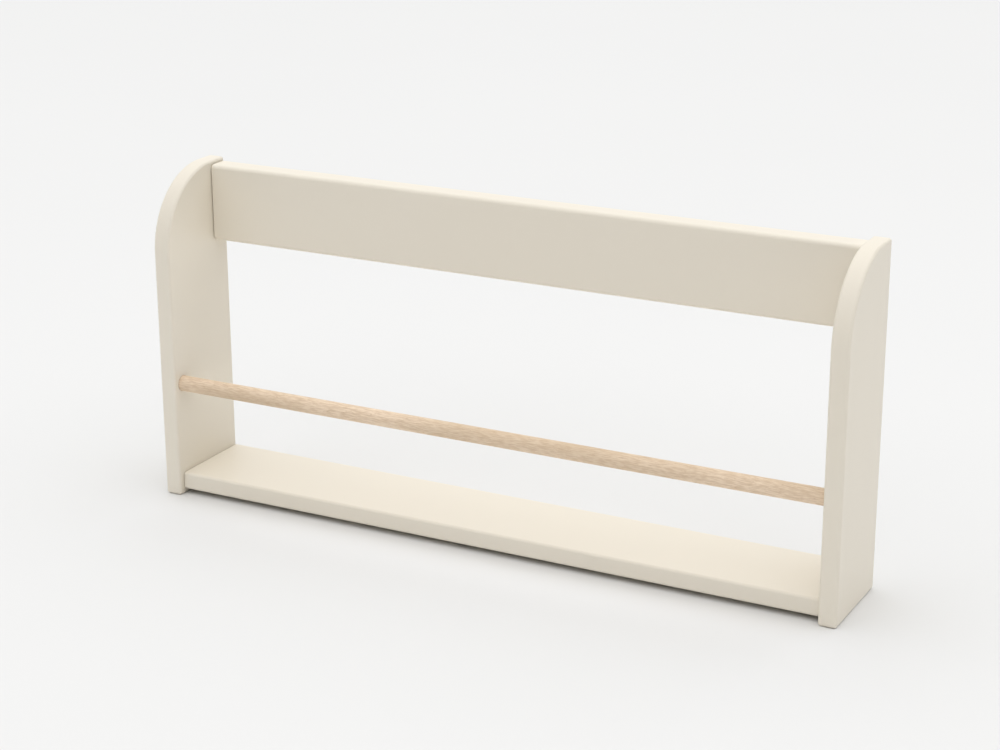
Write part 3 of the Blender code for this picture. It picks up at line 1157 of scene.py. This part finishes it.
@dataclass
class CamBolts(SubAssembly):
    """The steel cam bolts, modelled once and copied.

    A bolt is turned about its own Z axis, which runs from the panel's inner face into the board.
    """

    finish: Finish = Metal()
    segments: int = 64
    clearance: float = Drill.clearance
    thread_radius: float = 0.003
    root_radius: float = 0.0022
    core_radius: float = 0.0020
    thread_length: float = 0.011
    thread_pitch: float = 0.0022
    thread_flank: float = 0.4
    thread_crest: float = 0.1
    thread_margin: float = 0.0005
    spare_turns: int = 2
    collar_radius: float = 0.0037
    collar_length: float = 0.003
    shank_radius: float = 0.003
    shank_end: float = 0.0257
    neck_radius: float = 0.002
    head_seat: float = 0.0306
    head_radius: float = 0.00325
    head_length: float = 0.003
    chamfer: float = 0.0006
    cross: DriverCross = DriverCross(length=0.0038, width=0.0009, depth=0.0016)

    def pieces(self) -> dict[str, Object]:
        """Model all the bolts.

        Returns:
            The bolts, by the names of their nodes.
        """
        places = {}
        for place, side in product(Place, Side):
            node = place.bolt_node(side)
            start = NodeBox.of(node).end(side.outward) - side.outward * self.thread_length
            places[node] = turned_to(start, -side.outward, UPWARD)
        return self.copies(self.model(), places, "threaded")

    def model(self) -> Object:
        """Model a bolt on its own axis.

        Returns:
            The bolt.
        """
        head_end = self.head_seat + self.head_length
        collar_end = self.clearance + self.collar_length
        bolt = Bench.line("cam_bolt", [
            (0, head_end),
            (self.head_radius - self.chamfer, head_end),
            (self.head_radius, head_end - self.chamfer),
            (self.head_radius, self.head_seat + self.chamfer / 2),
            (self.head_radius - self.chamfer / 2, self.head_seat),
            (self.neck_radius, self.head_seat),
            (self.neck_radius, self.shank_end),
            (self.shank_radius, self.shank_end - self.chamfer),
            (self.shank_radius, collar_end),
            (self.collar_radius, collar_end),
            (self.collar_radius, self.clearance),
            (self.core_radius, self.clearance),
            (self.core_radius, self.chamfer - self.thread_length),
            (self.core_radius - self.chamfer, -self.thread_length),
            (0, -self.thread_length),
        ])
        Bench.turn(bolt, self.segments)
        Bench.combine(bolt, self.thread(), Merge.JOIN_ON)
        for cutter in self.cross.cutters(UPWARD * head_end):
            Bench.combine(bolt, cutter, Merge.CUT_OUT)
        self.finish.coat(bolt)
        Bench.smooth(bolt)
        return bolt

    def thread(self) -> Object:
        """Wind the thread.

        Returns:
            The thread as a solid, cut square at both ends.
        """
        turns = ceil(self.thread_length / self.thread_pitch) + self.spare_turns
        low = -self.thread_pitch * (turns - 1)
        crest_end = self.thread_flank + self.thread_crest
        ridge = [
            (self.root_radius, 0),
            (self.thread_radius, self.thread_flank),
            (self.thread_radius, crest_end),
            (self.root_radius, crest_end + self.thread_flank),
            (self.root_radius, 1),
        ]
        thread = Bench.line("thread", [(radius, low + share * self.thread_pitch) for radius, share in ridge])
        Bench.turn(thread, self.segments, self.thread_pitch, turns)
        Bench.trim(thread, -UPWARD * self.thread_margin, UPWARD)
        Bench.trim(thread, UPWARD * (self.thread_margin - self.thread_length), -UPWARD)
        return thread


@dataclass
class Cams(SubAssembly):
    """The cast cam discs that draw the bolts' heads in, modelled once and copied.

    A disc has its face on its own XY plane, and the bolt comes in along its own X axis. The head
    goes in through the round entry, and the neck then runs along the slot beside it.
    """

    finish: Finish = Metal(slot="zinc_alloy", marks=(0.0008, 0.0008, 0.0008), roughness=0.50)
    segments: int = 64
    overrun: float = Drill.overrun
    chamfer: float = 0.0004
    wall: float = 0.0025
    line_depth: float = 0.009
    pocket_half_height: float = 0.00355
    entry_radius: float = 0.0035
    slot_half_height: float = 0.0023
    slot_start: float = radians(-35)
    slot_end: float = radians(150)
    cross: DriverCross = DriverCross(length=0.009, width=0.0016, depth=0.0025)
    pointer_radius: float = 0.0009
    pointer_segments: int = 16
    pointer_inset: float = 0.0017
    pointer_depth: float = 0.0005

    def pieces(self) -> dict[str, Object]:
        """Model all the discs.

        Returns:
            The discs, by the names of their nodes.
        """
        places = {}
        for place, side in product(Place, Side):
            node = place.cam_node(side)
            middle = NodeBox.of(node).end(place.cam_face)
            places[node] = turned_to(middle, place.cam_face, side.outward)
        first = NodeBox.of(Place.SHELF.cam_node(Side.LEFT))
        return self.copies(self.model(first.size.x / 2, first.size.z), places, "cast")

    def model(self, radius: float, height: float) -> Object:
        """Model a disc on its own axis.

        Args:
            radius: The disc's radius.
            height: The disc's height.

        Returns:
            The disc.
        """
        cam = Bench.rod("cam", -UPWARD * height, Vector(), radius, self.segments)
        Bench.round_edges(cam, is_square, self.chamfer, segments=1)
        for cutter in self.cutters(radius):
            Bench.combine(cam, cutter, Merge.CUT_OUT)
        self.finish.coat(cam)
        Bench.smooth(cam)
        return cam

    def cutters(self, radius: float) -> Iterator[Object]:
        """Make what is cut out of a disc, one shape at a time.

        Args:
            radius: The disc's radius.

        Yields:
            The pocket, the two halves of the slot, the entry, the driver's cross and the pointer.
        """
        line = -UPWARD * self.line_depth
        reach = radius + self.overrun
        pocket = UPWARD * self.pocket_half_height
        yield Bench.rod("pocket", line - pocket, line + pocket, radius - self.wall, self.segments)
        middle = (self.slot_start + self.slot_end) / 2
        for start, end in ((self.slot_start, middle), (middle, self.slot_end)):
            yield self.wedge(line, reach, start, end)
        entry = Matrix.Rotation(self.slot_end, 3, "Z") @ RIGHTWARD
        yield Bench.rod("entry", line, line + entry * reach, self.entry_radius, self.segments)
        yield from self.cross.cutters(Vector())
        tip = entry * (radius - self.pointer_inset)
        depth = UPWARD * self.pointer_depth
        yield Bench.rod("pointer", tip - depth, tip + depth, self.pointer_radius, self.pointer_segments)

    def wedge(self, line: Vector, reach: float, start: float, end: float) -> Object:
        """Make a wedge of the slot.

        Args:
            line: Where the bolt's line meets the disc's axis.
            reach: How far out the wedge goes.
            start: The angle that it starts at.
            end: The angle that it ends at.

        Returns:
            The wedge.
        """
        half = UPWARD * self.slot_half_height
        wedge = Bench.rod("slot", line - half, line + half, reach, self.segments)
        Bench.trim(wedge, line, Matrix.Rotation(start, 3, "Z") @ -BACKWARD)
        Bench.trim(wedge, line, Matrix.Rotation(end, 3, "Z") @ BACKWARD)
        return wedge


@dataclass
class Studio:
    """The pale floor, the soft light and the camera."""

    floor: Finish = StudioFloor()
    floor_radius: float = 14.0
    floor_segments: int = 96
    floor_drop: float = 0.0002
    sky_colour: Colour = (1.0, 1.0, 1.0)
    ceiling_strength: float = 1.54
    ceiling_fade: Stretch = (0.35, 0.65)
    backdrop_strength: float = 0.45
    backdrop_fade: Stretch = (0.3, 1.0)
    seen_strength: float = 0.868
    lamp_place: Point = (0.3, -0.2, 2.5)
    lamp_size: float = 4.0
    lamp_power: float = 5.0
    eye: Point = (0.93158, -1.78360, 0.84498)
    yaw: float = radians(27.596)
    pitch: float = radians(18.562)
    roll: float = radians(-0.162)
    lens: float = 79.366
    sensor_width: float = 36.0

    def build(self) -> None:
        """Set the studio up."""
        bpy.context.scene.view_settings.view_transform = "Standard"
        self.lay_floor()
        self.light_sky()
        self.hang_lamp()
        self.place_camera()

    def lay_floor(self) -> None:
        """Lay the floor under the rack."""
        Bench.clear()
        bpy.ops.mesh.primitive_circle_add(
            vertices=self.floor_segments,
            radius=self.floor_radius,
            fill_type="NGON",
            location=-UPWARD * self.floor_drop,
        )
        floor = Bench.settle("floor")
        self.floor.coat(floor)

    def light_sky(self) -> None:
        """Light the rack from a wide ceiling and a low backdrop, with an even, pale sky to look at."""
        world = bpy.data.worlds.new("studio_sky")
        world.use_nodes = True
        bpy.context.scene.world = world
        graph = ShaderGraph(world.node_tree, "Background")
        way = graph.node("ShaderNodeTexCoord", output="Generated")
        back, rise = (graph.node("ShaderNodeSeparateXYZ", {}, {0: way}, axis) for axis in "YZ")
        ceiling = graph.fade(rise, self.ceiling_fade)
        backdrop = graph.fade(back, self.backdrop_fade) * (1 - ceiling)
        light = self.ceiling_strength * ceiling + self.backdrop_strength * backdrop
        strength = light + (self.seen_strength - light) * graph.seen()
        graph.dress({"Color": self.sky_colour, "Strength": strength})

    def hang_lamp(self) -> None:
        """Hang one large soft lamp over the rack."""
        turn = Vector(self.lamp_place).to_track_quat("Z", "Y").to_euler()
        bpy.ops.object.light_add(type="AREA", location=self.lamp_place, rotation=turn)
        lamp = bpy.context.object
        lamp.name = "soft_lamp"
        lamp.data.size = self.lamp_size
        lamp.data.energy = self.lamp_power

    def place_camera(self) -> None:
        """Put the camera where the photograph was taken from."""
        turn = (
            Matrix.Rotation(self.yaw, 3, "Z")
            @ Matrix.Rotation(radians(90) - self.pitch, 3, "X")
            @ Matrix.Rotation(self.roll, 3, "Z")
        )
        bpy.ops.object.camera_add(location=self.eye, rotation=turn.to_euler())
        camera = bpy.context.object
        camera.data.lens = self.lens
        camera.data.sensor_width = self.sensor_width
        bpy.context.scene.camera = camera


def main() -> None:
    """Build the rack's pieces in order and report each one, then build the studio."""
    logging.basicConfig(level=logging.INFO, format="%(name)s: %(message)s")
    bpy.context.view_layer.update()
    for part in (SidePanels(), LongBoards(), FrontBar(), Pins(), CamBolts(), Cams()):
        for node, piece in part.build().items():
            LOG.info("%s stands for %s, with %d faces", piece.name, node, len(piece.data.polygons))
    Studio().build()


if __name__ == "__main__":
    main()
